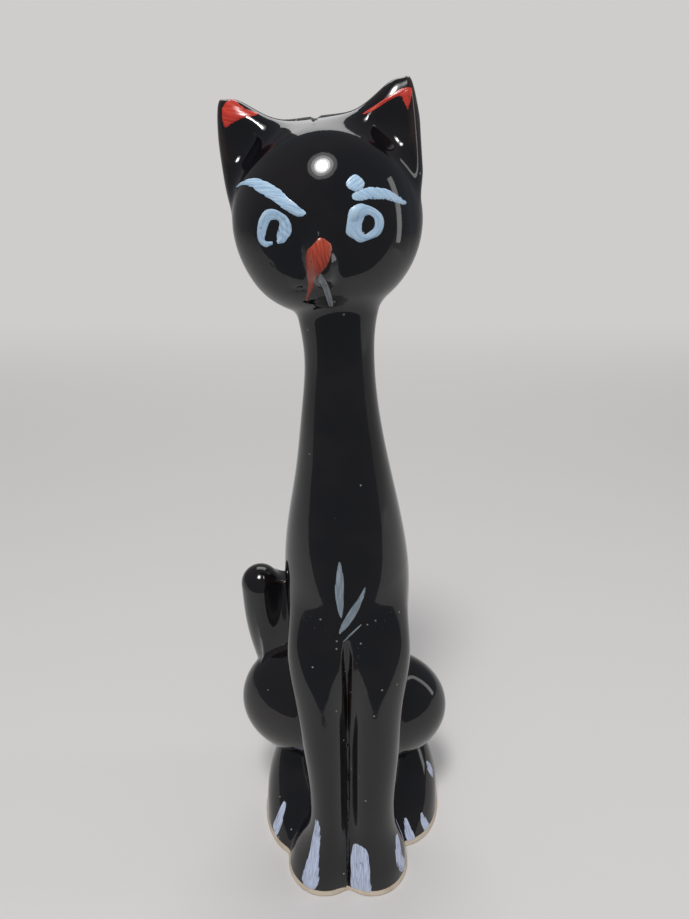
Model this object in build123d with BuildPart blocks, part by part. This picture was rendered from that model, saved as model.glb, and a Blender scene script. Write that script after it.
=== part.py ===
from build123d import *
import os
from math import cos, radians, sin

# Tall seated cat in glazed ceramic, 250 mm high, facing -Y with +Z up.
# Left and right are the cat's own: its left side is at +X. The origin is on the table, under the chest.
# The clay parts are luted together and fired; the enamel marks are thin layers brushed on the glaze.
# All sizes are in millimetres.

# ---- Clay, foot and enamel ----
wall = 3.5                      # wall of the hollow castings
foot_height = 2.0               # bare clay rim that the glaze stops above
foot_flare = 0.7                # how far the bare rim stands out from the clay above it
vent_hole_diameter = 3.0        # lets air out of the hollow body in the kiln
vent_hole_y = 6.0
enamel_thickness = 0.25

# ---- Torso and neck, each level measured from the one below ----
rump_rise = 22.0
thigh_rise = 24.0
waist_rise = 24.0
rib_rise = 24.0
chest_rise = 16.0
shoulder_rise = 14.0
neck_root_rise = 20.0
neck_middle_rise = 20.0
neck_waist_rise = 16.0
neck_rim_rise = 8.0
head_rise = 2.1                 # from the neck's rim to the underside of the head
neck_end_rise = 7.9             # how far the neck runs on inside the head
rump_height = foot_height + rump_rise
thigh_height = rump_height + thigh_rise
waist_height = thigh_height + waist_rise
rib_height = waist_height + rib_rise
chest_height = rib_height + chest_rise
shoulder_height = chest_height + shoulder_rise
neck_root_height = shoulder_height + neck_root_rise
neck_middle_height = neck_root_height + neck_middle_rise
neck_waist_height = neck_middle_height + neck_waist_rise
neck_rim_height = neck_waist_height + neck_rim_rise
head_bottom_height = neck_rim_height + head_rise
neck_end_height = head_bottom_height + neck_end_rise
head_x = -4.0
head_y = -9.0
torso_sections = (              # height, middle x, middle y, half width, half depth
    (foot_height, 0.3, 5.5, 17.0, 23.5),
    (rump_height, 0.2, 5.5, 17.8, 24.5),
    (thigh_height, -0.2, 4.0, 18.5, 24.0),
    (waist_height, -0.6, 1.5, 19.2, 23.0),
    (rib_height, -1.0, -1.8, 19.9, 22.2),
    (chest_height, -1.4, -4.0, 19.6, 20.8),
    (shoulder_height, -1.9, -5.4, 17.9, 18.6),
    (neck_root_height, -2.5, -7.0, 14.0, 14.2),
    (neck_middle_height, -3.3, -8.2, 10.8, 10.9),
    (neck_waist_height, -3.6, -8.8, 9.6, 9.8),
    (neck_rim_height, head_x, head_y, 10.3, 10.4),
    (neck_end_height, head_x, head_y, 12.5, 12.5),
)

# ---- Head: a flattened ball that leans and turns to the cat's right ----
head_lean = 6.0                 # degrees
head_turn = 5.0                 # degrees
skull_half_width = 24.8
skull_half_depth = 21.5
skull_half_height = 24.4
nose_half_width = 5.0
nose_half_depth = 6.2
nose_half_height = 10.0
nose_inset = 4.0                # from the front of the skull to the middle of the nose
nose_drop = 4.5                 # below the middle of the skull

# ---- Ears, section by section outward along the head ----
ear_sections = (                # in from the skull's side, tip over its crown, root under it, half depth
    (22.8, 0.1, 23.9, 8.5),
    (17.8, 0.6, 23.9, 8.0),
    (13.3, 1.9, 23.6, 7.2),
    (8.8, 4.6, 23.2, 6.2),
    (4.5, 6.8, 22.4, 5.0),
    (2.2, 7.0, 21.4, 4.2),
    (0.4, 5.0, 19.4, 3.0),
    (-0.7, -1.4, 15.4, 1.4),
)
dish_inset = 6.0                # in from the skull's side
dish_drop = 3.4                 # under the skull's crown
dish_forward = 9.0
dish_half_width = 6.4
dish_half_depth = 6.3
dish_half_height = 7.6

# ---- Forelegs, each level measured from the one below ----
groove_x = -0.8                 # where the two legs meet
toe_rise = 6.0
paw_top_rise = 8.0
ankle_rise = 11.0
shin_rise = 19.0
knee_rise = 24.0
upper_leg_rise = 22.0
leg_top_rise = 20.0
toe_height = foot_height + toe_rise
paw_top_height = toe_height + paw_top_rise
ankle_height = paw_top_height + ankle_rise
shin_height = ankle_height + shin_rise
knee_height = shin_height + knee_rise
upper_leg_height = knee_height + upper_leg_rise
leg_top_height = upper_leg_height + leg_top_rise
foreleg_sections = {            # height, middle out from the groove, middle y, half width, half depth
    "left": (
        (foot_height, 8.1, -21.7, 12.5, 13.6),
        (toe_height, 8.1, -21.6, 11.8, 12.8),
        (paw_top_height, 7.9, -21.2, 9.6, 10.9),
        (ankle_height, 7.8, -20.7, 8.3, 9.8),
        (shin_height, 8.2, -19.8, 8.6, 9.4),
        (knee_height, 8.9, -18.4, 9.2, 9.2),
        (upper_leg_height, 9.5, -16.5, 9.8, 8.9),
        (leg_top_height, 7.4, -8.5, 6.5, 8.0),
    ),
    "right": (
        (foot_height, 8.0, -21.7, 12.6, 13.6),
        (toe_height, 7.5, -21.6, 11.3, 12.8),
        (paw_top_height, 6.5, -21.2, 8.6, 10.9),
        (ankle_height, 6.2, -20.7, 7.1, 9.8),
        (shin_height, 7.0, -19.8, 7.5, 9.4),
        (knee_height, 8.7, -18.4, 9.0, 9.2),
        (upper_leg_height, 9.4, -16.5, 9.7, 8.9),
        (leg_top_height, 7.4, -8.5, 6.5, 8.0),
    ),
}

# ---- Haunches: broad balls with their middles inside the torso ----
left_haunch_middle = (9.5, 4.0, 48.0)           # x, y, z
left_haunch_half_size = (25.3, 17.0, 21.4)      # width, depth, height
right_haunch_middle = (-13.6, 4.0, 51.7)
right_haunch_half_size = (25.3, 17.0, 22.7)

# ---- Hind paws: their footprint, and how they draw in with height ----
left_paw_middle = (18.4, 7.0)
left_paw_half_size = (15.4, 22.8)
right_paw_middle = (-17.0, 4.5)
right_paw_half_size = (14.9, 24.6)
paw_sections = (                # over the foot, set back, narrowed, shortened
    (0.0, 0.0, 0.0, 0.0),
    (6.0, 1.9, 0.2, 2.0),
    (12.0, 4.2, 1.1, 5.0),
    (18.0, 6.0, 3.2, 9.2),
    (23.0, 7.0, 6.4, 14.5),
    (27.5, 7.6, 11.0, 19.5),
)

# ---- Tail: up the cat's right side from the rump to a round tip, with a web of clay to the torso ----
tail_route = (
    (-16.0, 19.0, 12.0),
    (-20.0, 22.0, 27.0),
    (-25.5, 20.5, 45.0),
    (-29.2, 14.0, 64.0),
    (-30.6, 8.5, 82.0),
    (-30.8, 6.0, 98.0),
)
tail_radii = (6.8, 6.4, 5.8, 5.6, 6.2, 6.5)
web_thickness = 8.0
web_y = 7.0
web_bottom_height = 58.0
web_top_rise = 2.0              # over the middle of the tail's round tip

# ---- Enamel marks on the face, seen from the front: sideways and up from the middle of the skull ----
face_drawn_half_width = 24.8    # size of the skull that the outlines below are drawn for
face_drawn_half_height = 24.4
right_brow_outline = (
    (-21.3, 10.9), (-18.6, 12.1), (-15.2, 12.4), (-11.7, 11.4), (-8.4, 9.4), (-5.2, 6.5),
    (-2.4, 4.0), (-3.2, 2.9), (-5.2, 3.4), (-8.6, 6.0), (-12.4, 8.5), (-15.8, 10.7), (-18.7, 11.1),
)
left_brow_outline = (
    (8.5, 6.0), (9.5, 7.1), (11.9, 7.7), (14.8, 7.4), (17.5, 6.2),
    (21.0, 3.0), (18.2, 3.8), (14.0, 5.0), (9.8, 5.1),
)
right_eye_outline = (
    (-12.2, 5.2), (-9.6, 5.1), (-7.2, 3.5), (-6.2, 1.4), (-6.8, -0.7), (-8.4, -2.3),
    (-10.6, -3.0), (-13.4, -3.1), (-15.2, -1.9), (-15.4, 1.2), (-14.0, 3.8),
)
right_pupil_outline = (
    (-11.2, 2.9), (-9.0, 2.4), (-9.5, -0.6), (-10.4, -4.0), (-12.4, -1.9), (-13.6, -1.2), (-12.4, 0.9),
)
left_eye_outline = (
    (9.3, 4.5), (11.2, 4.3), (13.7, 2.8), (15.3, 0.8), (15.2, -1.3), (14.0, -3.0),
    (11.8, -3.9), (9.4, -4.1), (7.6, -3.0), (6.5, -1.4), (6.9, 1.2), (7.8, 3.4),
)
left_pupil_outline = (
    (11.1, 1.4), (12.3, 1.6), (13.3, 0.5), (12.9, -1.3), (11.5, -2.3), (10.4, -2.2), (10.2, -0.5),
)
forehead_dab_outline = (
    (7.4, 9.4), (8.5, 10.7), (10.1, 11.0), (11.4, 9.5), (11.1, 8.3), (9.6, 7.9), (8.0, 8.3),
)
nose_outline = (
    (0.4, -1.6), (2.5, -3.2), (2.8, -5.8), (1.5, -8.2), (-0.9, -10.4), (-3.0, -13.6), (-5.6, -17.2),
    (-4.5, -13.4), (-3.9, -9.9), (-3.6, -6.4), (-2.0, -3.2),
)
mouth_outline = ((-0.9, -10.8), (0.2, -10.4), (0.9, -14.0), (1.0, -18.6), (-0.4, -19.2), (-0.6, -15.6))

# ---- Enamel on the ears: the right tip is dipped, the left is lined along the front of its rim ----
ear_point_inset = 2.2           # in from the skull's side to the ear's point
tip_drops = {"left": 2.6, "right": 5.4}     # from the ear's point down to the edge of the enamel
tip_slopes = {"left": 22.0, "right": 0.0}   # degrees, how that edge rises toward the point

# ---- Enamel marks on the chest: sideways, and up from the chest's level ----
chest_outlines = (
    ((-3.6, 11.6), (-2.6, 8.0), (-2.3, 1.5), (-2.9, -7.4), (-4.3, -3.0), (-4.8, 2.0), (-4.5, 7.5)),
    ((3.9, 2.9), (3.6, -0.2), (0.8, -7.4), (-3.3, -13.1), (-3.5, -11.6), (-1.2, -5.8), (2.0, -0.4)),
    ((3.0, -10.0), (0.6, -13.0), (-2.4, -16.2), (-0.4, -13.2)),
)

# ---- Enamel marks on the toes: sideways and height ----
foreleg_toe_outlines = {
    "right": (
        (
            (-11.6, 26.8), (-10.3, 24.6), (-10.7, 14.0), (-11.1, 4.6),
            (-13.6, 1.9), (-16.6, 3.0), (-15.4, 9.0), (-13.2, 17.0),
        ),
    ),
    "left": (
        ((1.6, 17.6), (4.6, 17.4), (6.0, 14.8), (6.4, 8.0), (6.4, 1.0), (0.6, 1.0), (0.2, 8.0), (0.2, 14.6)),
        ((15.6, 17.2), (17.2, 12.0), (18.9, 5.2), (18.7, 2.3), (16.9, 5.0), (15.6, 11.0)),
    ),
}
hind_toe_outlines = {
    "right": (
        ((-24.2, 13.6), (-23.8, 11.6), (-25.6, 5.8), (-27.6, 1.6), (-28.4, 4.4), (-26.4, 9.6)),
    ),
    "left": (
        ((19.8, 8.2), (21.0, 7.6), (23.6, 2.2), (22.2, 1.0), (20.2, 3.6)),
        ((26.2, 8.0), (27.4, 6.6), (29.5, 1.8), (28.0, 1.6), (26.4, 4.8)),
        ((29.2, 19.0), (31.0, 16.6), (32.0, 12.4), (30.4, 15.0)),
    ),
}
mark_reach = 60.0               # how far a brushed outline is carried forward onto the clay
foreleg_mark_start = -20.0      # where the carrying starts, so that only the front of the clay is marked
hind_mark_start = 4.0


# ---- Forms that several pieces share ----
def oval_column(sections, grow=0.0):
    """A smooth solid through level ovals: height, middle x, middle y, half width, half depth."""
    with BuildPart() as form:
        for height, middle_x, middle_y, half_width, half_depth in sections:
            with BuildSketch(Plane((middle_x, middle_y, height))):
                Ellipse(half_width + grow, half_depth + grow)
        loft()
    return form.part


def ellipsoid(plane, half_width, half_depth, half_height):
    """A ball stretched along the plane's own x, y and z."""
    with BuildPart() as form:
        Sphere(1)
        scale(by=(half_width, half_depth, half_height))
    return form.part.moved(plane.location)


lean = radians(head_lean)
turn = radians(head_turn)
head_up = Vector(-sin(lean), 0, cos(lean))
head_level = Vector(cos(lean), 0, sin(lean))
head_sideways = head_level * cos(turn) - Vector(0, 1, 0) * sin(turn)
head_foot = Vector(head_x, head_y, head_bottom_height)
skull_plane = Plane(head_foot + head_up * skull_half_height, x_dir=head_sideways, z_dir=head_up)
face_plane = Plane(skull_plane.origin, x_dir=head_sideways, z_dir=-skull_plane.y_dir)


def head_form(grow=0.0):
    """The closed outside of the head: the skull with the ridge of the nose."""
    nose_middle = skull_plane.from_local_coords((0, nose_inset - skull_half_depth, -nose_drop))
    nose_plane = Plane(nose_middle, x_dir=skull_plane.x_dir, z_dir=skull_plane.z_dir)
    skull = ellipsoid(skull_plane, skull_half_width + grow, skull_half_depth + grow, skull_half_height + grow)
    nose = ellipsoid(nose_plane, nose_half_width + grow, nose_half_depth + grow, nose_half_height + grow)
    with BuildPart() as form:
        add(skull)
        add(nose)
    return form.part


def ear_form(side, grow=0.0):
    """One ear, closed inside the skull: an upright fin dished in front. side is 1 for the left."""
    with BuildPart() as form:
        for inset, tip_rise, root_drop, half_depth in ear_sections:
            sideways = side * (skull_half_width - inset)
            middle_up = skull_half_height + (tip_rise - root_drop) / 2
            section_middle = skull_plane.from_local_coords((sideways, 0, middle_up))
            with BuildSketch(Plane(section_middle, x_dir=skull_plane.y_dir, z_dir=skull_plane.x_dir * side)):
                Ellipse(half_depth + grow, (tip_rise + root_drop) / 2 + grow)
        loft()
    dish_sideways = side * (skull_half_width - dish_inset)
    dish_middle = skull_plane.from_local_coords((dish_sideways, -dish_forward, skull_half_height - dish_drop))
    dish_plane = Plane(dish_middle, x_dir=skull_plane.x_dir, z_dir=skull_plane.z_dir)
    dish = ellipsoid(dish_plane, dish_half_width - grow, dish_half_depth - grow, dish_half_height - grow)
    return form.part - dish


def foreleg_form(name, grow=0.0):
    """One front leg with its paw, a column that runs up into the chest."""
    sections = []
    for height, out, middle_y, half_width, half_depth in foreleg_sections[name]:
        sections.append((height, groove_x + sides[name] * out, middle_y, half_width, half_depth))
    return oval_column(sections, grow)


def hind_paw_form(middle, half_size, grow=0.0):
    """One hind paw: a long oval on the table that draws back and in as it rises."""
    sections = []
    for rise, set_back, narrowed, shortened in paw_sections:
        place = (foot_height + rise, middle[0], middle[1] + set_back)
        sections.append((*place, half_size[0] - narrowed, half_size[1] - shortened))
    return oval_column(sections, grow)


def tail_form():
    """The tail: round sections square to its route, closed by a ball, with the web beside it."""
    route = Spline(*tail_route, tangents=((0, 0, 1), (0, 0, 1)))
    with BuildPart() as form:
        for point, radius in zip(tail_route, tail_radii):
            along = route.param_at_point(point)
            with BuildSketch(Plane(route @ along, z_dir=route % along)):
                Circle(radius)
        loft()
    with BuildPart() as tip:
        Sphere(tail_radii[-1])
    tip_x, _, tip_height = tail_route[-1]
    web_top = tip_height + web_top_rise
    with BuildPart() as web:
        with BuildSketch(Plane.XZ.offset(-web_y)):
            with BuildLine():
                Polyline(
                    (tip_x, web_bottom_height),
                    (0, web_bottom_height),
                    (0, web_top),
                    (tip_x, web_top),
                    close=True,
                )
            make_face()
        extrude(amount=web_thickness / 2, both=True)
    return form.part + tip.part.moved(Location(tail_route[-1])) + web.part


torso_outside = oval_column(torso_sections)
torso_hollow = oval_column(torso_sections, -wall)
head_outside = head_form()
head_hollow = ellipsoid(
    skull_plane, skull_half_width - wall, skull_half_depth - wall, skull_half_height - wall
)


def brush_mark(plane, outline):
    """A closed brush outline drawn on a plane and carried forward."""
    with BuildPart() as mark:
        with BuildSketch(plane):
            with BuildLine():
                Spline(*outline, periodic=True)
            make_face()
        extrude(amount=mark_reach)
    return mark.part


def face_mark(outline):
    """A brush outline on the face, which grows with the skull."""
    wider = skull_half_width / face_drawn_half_width
    taller = skull_half_height / face_drawn_half_height
    return brush_mark(face_plane, [(sideways * wider, up * taller) for sideways, up in outline])


def keep(piece, name):
    """Label a finished piece and write it to its own file."""
    piece.label = name
    export_step(piece, f"parts/{name}.step")


os.makedirs("parts", exist_ok=True)
sides = {"left": 1, "right": -1}
foreleg_outsides = {name: foreleg_form(name) for name in sides}
groove_planes = {
    "left": Plane((groove_x, 0, 0), z_dir=(1, 0, 0)),
    "right": Plane((groove_x, 0, 0), z_dir=(-1, 0, 0)),
}
haunch_outsides = {
    "left": ellipsoid(Plane(left_haunch_middle), *left_haunch_half_size),
    "right": ellipsoid(Plane(right_haunch_middle, x_dir=(-1, 0, 0)), *right_haunch_half_size),
}
paw_footprints = {
    "left": (left_paw_middle, left_paw_half_size),
    "right": (right_paw_middle, right_paw_half_size),
}
paw_outsides = {name: hind_paw_form(*footprint) for name, footprint in paw_footprints.items()}
ear_outsides = {name: ear_form(side) for name, side in sides.items()}


# ---- Body casting: torso and neck in one hollow wall, open onto the foot and into the head ----
with BuildPart() as body_casting:
    add(torso_outside)
    add(torso_hollow, mode=Mode.SUBTRACT)
    add(head_outside, mode=Mode.SUBTRACT)
keep(body_casting.part, "body_casting")

# ---- Head casting: a hollow ball seated in the neck's rim, with the neck's bore running into it ----
with BuildPart() as head_casting:
    add(head_outside)
    add(head_hollow, mode=Mode.SUBTRACT)
    add(torso_hollow, mode=Mode.SUBTRACT)
keep(head_casting.part, "head_casting")

# ---- Ears, luted on the skull ----
for name in sides:
    with BuildPart() as ear:
        add(ear_outsides[name])
        add(head_outside, mode=Mode.SUBTRACT)
    keep(ear.part, f"{name}_ear")

# ---- Forelegs: two columns against the torso that meet in the groove ----
for name in sides:
    with BuildPart() as foreleg:
        add(foreleg_outsides[name])
        add(torso_outside, mode=Mode.SUBTRACT)
        split(bisect_by=groove_planes[name], keep=Keep.TOP)
    keep(foreleg.part, f"{name}_foreleg")

# ---- Haunches: thigh balls on the torso, behind the forelegs ----
for name in sides:
    with BuildPart() as haunch:
        add(haunch_outsides[name])
        add(torso_outside, mode=Mode.SUBTRACT)
        add(foreleg_outsides[name], mode=Mode.SUBTRACT)
    keep(haunch.part, f"{name}_haunch")

# ---- Hind paws: under the haunches, beside the front paws ----
for name in sides:
    with BuildPart() as hind_paw:
        add(paw_outsides[name])
        add(torso_outside, mode=Mode.SUBTRACT)
        add(foreleg_outsides[name], mode=Mode.SUBTRACT)
        add(haunch_outsides[name], mode=Mode.SUBTRACT)
    keep(hind_paw.part, f"{name}_hind_paw")

# ---- Tail: against the torso, behind the right haunch and over the right hind paw ----
with BuildPart() as tail:
    add(tail_form())
    add(torso_outside, mode=Mode.SUBTRACT)
    add(haunch_outsides["right"], mode=Mode.SUBTRACT)
    add(paw_outsides["right"], mode=Mode.SUBTRACT)
keep(tail.part, "tail")

# ---- Foot: the bare clay floor under all of them, flared to the table, with its vent hole ----
footprints = [torso_sections[0][1:]]
for name, side in sides.items():
    _, out, *footprint = foreleg_sections[name][0]
    footprints.append((groove_x + side * out, *footprint))
for middle, half_size in paw_footprints.values():
    footprints.append((*middle, *half_size))
with BuildPart() as foot:
    for middle_x, middle_y, half_width, half_depth in footprints:
        with BuildSketch(Plane((middle_x, middle_y, 0))):
            Ellipse(half_width + foot_flare, half_depth + foot_flare)
        with BuildSketch(Plane((middle_x, middle_y, foot_height))):
            Ellipse(half_width, half_depth)
        loft()
    with BuildSketch(Plane.XY):
        with Locations((0, vent_hole_y)):
            Circle(vent_hole_diameter / 2)
    extrude(amount=foot_height, mode=Mode.SUBTRACT)
keep(foot.part, "foot")


# ---- Enamel: each mark is a thin layer that lies on the clay under it ----
def enamel_layer(marks, outside, clay):
    """The brushed marks, between the clay and a surface one enamel thickness outside it."""
    with BuildPart() as layer:
        for mark in marks:
            add(mark)
        add(outside, mode=Mode.INTERSECT)
        add(clay, mode=Mode.SUBTRACT)
    return layer.part


head_enamel = head_form(enamel_thickness)
with BuildPart() as right_eye_mark:
    add(face_mark(right_eye_outline))
    add(face_mark(right_pupil_outline), mode=Mode.SUBTRACT)
with BuildPart() as left_eye_mark:
    add(face_mark(left_eye_outline))
    add(face_mark(left_pupil_outline), mode=Mode.SUBTRACT)
face_marks = {
    "right_brow_stroke": face_mark(right_brow_outline),
    "left_brow_stroke": face_mark(left_brow_outline),
    "right_eye_ring": right_eye_mark.part,
    "left_eye_ring": left_eye_mark.part,
    "forehead_dab": face_mark(forehead_dab_outline),
    "nose_patch": face_mark(nose_outline),
    "mouth_stroke": face_mark(mouth_outline),
}
for name, mark in face_marks.items():
    keep(enamel_layer([mark], head_enamel, head_outside), name)

# ---- Enamel on the ears, above a sloping edge; on the left ear on the front of the rim alone ----
ear_point = max(skull_half_height + tip_rise for _, tip_rise, _, _ in ear_sections)
for name, side in sides.items():
    slope = radians(tip_slopes[name])
    edge_middle = (side * (skull_half_width - ear_point_inset), 0, ear_point - tip_drops[name])
    edge_up = head_up * cos(slope) - head_sideways * (side * sin(slope))
    with BuildPart() as ear_enamel:
        add(ear_form(side, enamel_thickness))
        split(bisect_by=Plane(skull_plane.from_local_coords(edge_middle), z_dir=edge_up), keep=Keep.TOP)
        if name == "left":
            split(bisect_by=face_plane, keep=Keep.TOP)
        add(ear_outsides[name], mode=Mode.SUBTRACT)
        add(head_outside, mode=Mode.SUBTRACT)
    keep(ear_enamel.part, f"{name}_ear_enamel")

# ---- Enamel on the chest and on the toes ----
chest_plane = Plane((0, 0, chest_height), x_dir=(1, 0, 0), z_dir=(0, -1, 0))
chest_marks = [brush_mark(chest_plane, outline) for outline in chest_outlines]
keep(enamel_layer(chest_marks, oval_column(torso_sections, enamel_thickness), torso_outside), "chest_strokes")
foreleg_mark_plane = Plane.XZ.offset(-foreleg_mark_start)
for name in sides:
    marks = [brush_mark(foreleg_mark_plane, outline) for outline in foreleg_toe_outlines[name]]
    layer = enamel_layer(marks, foreleg_form(name, enamel_thickness), foreleg_outsides[name])
    keep(layer, f"{name}_foreleg_toe_strokes")
hind_mark_plane = Plane.XZ.offset(-hind_mark_start)
for name in sides:
    marks = [brush_mark(hind_mark_plane, outline) for outline in hind_toe_outlines[name]]
    paw_enamel = hind_paw_form(*paw_footprints[name], enamel_thickness)
    keep(enamel_layer(marks, paw_enamel, paw_outsides[name]), f"{name}_hind_toe_strokes")
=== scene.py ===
import math

import bpy
import numpy as np
from mathutils import Euler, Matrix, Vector


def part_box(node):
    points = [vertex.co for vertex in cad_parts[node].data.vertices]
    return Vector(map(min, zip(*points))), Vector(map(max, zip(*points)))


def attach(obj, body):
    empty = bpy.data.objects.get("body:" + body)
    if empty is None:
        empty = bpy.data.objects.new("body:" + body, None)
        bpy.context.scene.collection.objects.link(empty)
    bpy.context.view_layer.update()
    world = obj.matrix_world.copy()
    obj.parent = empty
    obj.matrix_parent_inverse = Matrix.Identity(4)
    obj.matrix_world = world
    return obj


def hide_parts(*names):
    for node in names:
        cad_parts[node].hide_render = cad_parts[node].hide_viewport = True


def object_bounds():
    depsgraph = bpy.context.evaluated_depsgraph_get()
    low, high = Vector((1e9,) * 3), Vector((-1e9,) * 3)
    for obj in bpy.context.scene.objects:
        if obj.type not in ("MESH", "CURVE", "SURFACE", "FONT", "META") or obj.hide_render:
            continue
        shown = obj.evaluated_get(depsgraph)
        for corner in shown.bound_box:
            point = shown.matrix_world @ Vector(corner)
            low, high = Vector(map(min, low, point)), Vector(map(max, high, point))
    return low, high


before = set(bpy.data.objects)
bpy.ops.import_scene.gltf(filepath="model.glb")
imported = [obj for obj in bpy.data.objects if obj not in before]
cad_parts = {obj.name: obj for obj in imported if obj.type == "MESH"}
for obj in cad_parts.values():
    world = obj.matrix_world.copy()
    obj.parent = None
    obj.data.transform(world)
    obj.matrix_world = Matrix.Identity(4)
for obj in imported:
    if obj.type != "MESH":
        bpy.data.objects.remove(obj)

cad_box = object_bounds()

# Tall seated cat in glazed ceramic. The clay pieces are luted together, dipped in black glaze,
# fired, and then painted by hand with pale and red enamel. Forms are worked out in millimetres,
# with the cat facing -Y and its own left at +X, and turned into metres when a piece is made.
mm = 0.001

# ---- Camera: close in front of the cat, near the height of its head, looking down at the feet ----
# It is about 0.2 m from the neck, a little to the cat's right.
camera_pitch = math.radians(22)
camera_data = bpy.data.cameras.new("camera")
camera_data.lens = 28.09
camera_data.sensor_width = 36.0
camera_data.clip_start = 0.01
camera = bpy.data.objects.new("camera", camera_data)
camera.location = (-0.0021, -0.2060, 0.2290)
camera.rotation_euler = Euler((math.pi / 2 - camera_pitch, 0, 0))
bpy.context.scene.collection.objects.link(camera)
bpy.context.scene.camera = camera
bpy.context.scene.view_settings.view_transform = "Standard"


# ---- Body casting: the torso and the long neck, slip-cast in one hollow wall ----
# Level ovals, smoothly joined: wide at the rump, narrow under the head. The forelegs, haunches,
# paws and tail are luted on to it, and the head sits in the neck's rim.
def curve_through(table):
    """A smooth curve through rows whose first value is the place along it, finely sampled."""
    table = np.array(table, float)
    knots, values = table[:, 0], table[:, 1:]
    spans = np.diff(knots)
    count = len(knots)
    bends = np.eye(count)
    pulls = np.zeros_like(values)
    for i in range(1, count - 1):
        bends[i, i - 1:i + 2] = spans[i - 1], 2 * (spans[i - 1] + spans[i]), spans[i]
        pulls[i] = 6 * ((values[i + 1] - values[i]) / spans[i] - (values[i] - values[i - 1]) / spans[i - 1])
    curvature = np.linalg.solve(bends, pulls)
    sample_count = 1500
    places = np.linspace(knots[0], knots[-1], sample_count)
    span = np.clip(np.searchsorted(knots, places) - 1, 0, count - 2)
    width = spans[span, None]
    ahead = (knots[span + 1] - places)[:, None] / width
    behind = 1 - ahead
    samples = ahead * values[span] + behind * values[span + 1]
    bow = (ahead**3 - ahead) * curvature[span] + (behind**3 - behind) * curvature[span + 1]
    samples += bow * width**2 / 6

    def at(place):
        return [np.interp(place, places, column) for column in samples.T]
    return at


def oval(x, y, middle_x, middle_y, half_x, half_y):
    """Distance to an oval, below zero inside."""
    across, along = (x - middle_x) / half_x, (y - middle_y) / half_y
    share = np.sqrt(across**2 + along**2) + 1e-6
    return share * (share - 1) / (np.sqrt((across / half_x)**2 + (along / half_y)**2) + 1e-6)


def column(sections):
    """A form through level ovals: height, middle x, middle y, half width, half depth."""
    at = curve_through(sections)
    top = sections[-1][0]

    def form(x, y, z):
        return np.maximum(oval(x, y, *at(z)), z - top)
    return form


foot_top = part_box("foot")[1].z / mm
clay = {"body_casting": column((
    (2, 0.3, 5.5, 17.0, 23.5), (24, 0.2, 5.5, 17.8, 24.5), (48, -0.2, 4.0, 18.5, 24.0),
    (72, -0.6, 1.5, 19.2, 23.0), (96, -1.0, -1.8, 19.9, 22.2), (112, -1.4, -4.0, 19.6, 20.8),
    (126, -1.9, -5.4, 17.9, 18.6), (146, -2.5, -7.0, 14.0, 14.2), (166, -3.3, -8.2, 10.8, 10.9),
    (182, -3.6, -8.8, 9.6, 9.8), (190, -4.0, -9.0, 10.3, 10.4), (200, -4.0, -9.0, 12.5, 12.5),
))}


# ---- Head casting: a flattened hollow ball that leans and turns a little to the cat's right ----
# The ridge of the nose is pressed out of the mould with it. The right jaw is a little fuller than
# the left, there are shallow hollows for the eyes, and the clay is puckered round the right eye.
def smooth_min(a, b, fillet):
    """The nearer of two forms, with a fillet of clay or glaze in the crease."""
    share = np.clip(0.5 + 0.5 * (b - a) / fillet, 0, 1)
    return b + (a - b) * share - fillet * share * (1 - share)


def smooth_max(a, b, fillet):
    return -smooth_min(-a, -b, fillet)


head_lean, head_turn = math.radians(6.0), math.radians(5.0)
head_up = Vector((-math.sin(head_lean), 0, math.cos(head_lean)))
head_level = Vector((math.cos(head_lean), 0, math.sin(head_lean)))
head_sideways = head_level * math.cos(head_turn) - Vector((0, 1, 0)) * math.sin(head_turn)
head_back = head_up.cross(head_sideways)
skull_half = (24.8, 21.5, 24.4)
neck_top = Vector((-4.0, -9.0, 192.1))
skull_middle = neck_top + head_up * skull_half[2]
nose_back, nose_up = -17.6, -5.8
nose_half = (4.2, 6.2, 7.6)
nose_fillet = 1.6
pucker_middle, pucker_reach, pucker_depth = (-9.0, -0.5), (5.5, 8.0), 0.075
face_relief = (  # sideways, up, reach sideways, reach up, rise
    (-14.0, -15.0, 9.0, 7.0, 0.9), (22.0, 0.0, 7.0, 11.0, -0.8),
    (-11.0, 0.5, 4.6, 3.6, -0.5), (11.0, 0.5, 4.6, 3.6, -0.4),
    (-5.4, -3.5, 1.3, 5.5, -0.45), (5.4, -3.5, 1.3, 5.5, -0.25),
    (-6.0, -11.0, 3.0, 2.2, 0.55), (5.5, -11.5, 3.4, 2.6, 0.35),
    (-7.2, 5.6, 2.4, 2.2, 0.35), (-6.6, -14.0, 2.4, 0.8, -0.3),
)


def on_head(x, y, z):
    """Sideways, back and up from the middle of the skull, along the head's own directions."""
    away = x - skull_middle.x, y - skull_middle.y, z - skull_middle.z
    return [sum(a * b for a, b in zip(away, axis)) for axis in (head_sideways, head_back, head_up)]


def ball(x, y, z, half):
    """Distance to a stretched ball about the origin."""
    share = np.sqrt((x / half[0])**2 + (y / half[1])**2 + (z / half[2])**2) + 1e-6
    steep = np.sqrt((x / half[0]**2)**2 + (y / half[1]**2)**2 + (z / half[2]**2)**2) + 1e-6
    return share * (share - 1) / steep


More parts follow.
